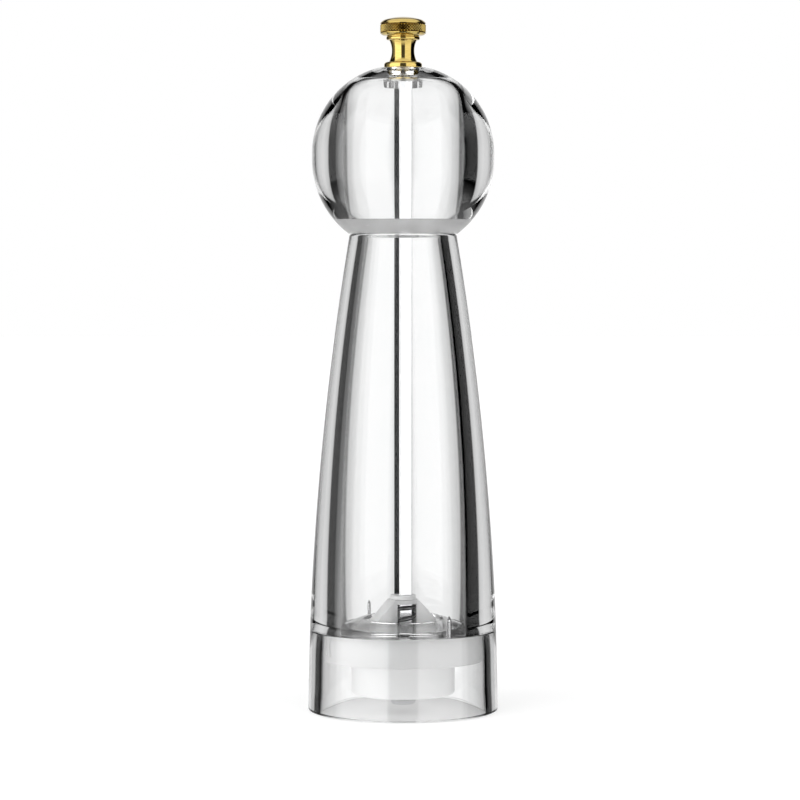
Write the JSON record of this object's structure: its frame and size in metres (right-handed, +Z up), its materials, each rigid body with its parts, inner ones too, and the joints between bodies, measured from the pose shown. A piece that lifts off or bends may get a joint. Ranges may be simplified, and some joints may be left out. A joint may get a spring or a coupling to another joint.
{
  "type": "pepper mill",
  "caption": "Tall hand-turned pepper mill with a clear tapered body, a clear ball head, a knurled brass knob and a ceramic grinder on a square steel shaft in the foot.",
  "frame": {"origin": "centre of the base ring's bottom face, on the shaft axis", "axes": "+Z up the shaft towards the knob; -Y towards a viewer facing the mill; the square shaft is turned 24 degrees about Z from X"},
  "size_m": [0.062, 0.062, 0.225],
  "materials": {
    "clear_acrylic": "polished, colourless, solid acrylic",
    "frosted_acrylic": "turned and left satin, translucent grey",
    "brass": "polished, knurled band",
    "white_plastic": "moulded, satin white",
    "milky_plastic": "moulded, translucent white",
    "white_ceramic": "sintered white ceramic, matt",
    "grey_metal": "turned, satin",
    "bright_steel": "drawn, bright"
  },
  "bodies": {
    "base": {"body_shell": "clear_acrylic", "base_ring": "clear_acrylic", "grinder_housing": "white_plastic", "stator_burr": "white_ceramic", "stator_retaining_ring": "white_plastic", "hopper_dish": "milky_plastic", "bridge": "milky_plastic", "bridge_screws": "bright_steel", "mounting_screws": "bright_steel"},
    "guide": {"guide_bush": "white_plastic"},
    "drive": {"shaft": "bright_steel", "rotor_burr": "white_ceramic", "rotor_carrier": "white_plastic", "spring_cup": "bright_steel", "spring": "bright_steel", "rotor_washer": "bright_steel", "rotor_nut": "bright_steel"},
    "head": {"head_shell": "clear_acrylic", "head_plug": "frosted_acrylic", "head_boss": "clear_acrylic", "drive_bush": "grey_metal"},
    "knob": {"knob": "brass"}
  },
  "joints": [
    {"name": "head_turn", "type": "hinge", "parent": "base", "child": "guide", "pos_m": [0, 0, 0.0355], "axis": [0, 0, 1], "continuous": true},
    {"name": "grind_adjust", "type": "slide", "parent": "guide", "child": "drive", "axis": [0, 0, 1], "range_m": [-0.00058, 0.00024], "deforming": ["spring"]},
    {"name": "head_lift", "type": "slide", "parent": "guide", "child": "head", "axis": [0, 0, 1], "range_m": [0, 0.068]},
    {"name": "knob_turn", "type": "hinge", "parent": "head", "child": "knob", "pos_m": [0, 0, 0.2085], "axis": [0, 0, 1], "range_deg": [-125, 300]}
  ],
  "couplings": [
    {"joint": "knob_turn", "follows": "grind_adjust", "rad_per_m": -8976}
  ]
}
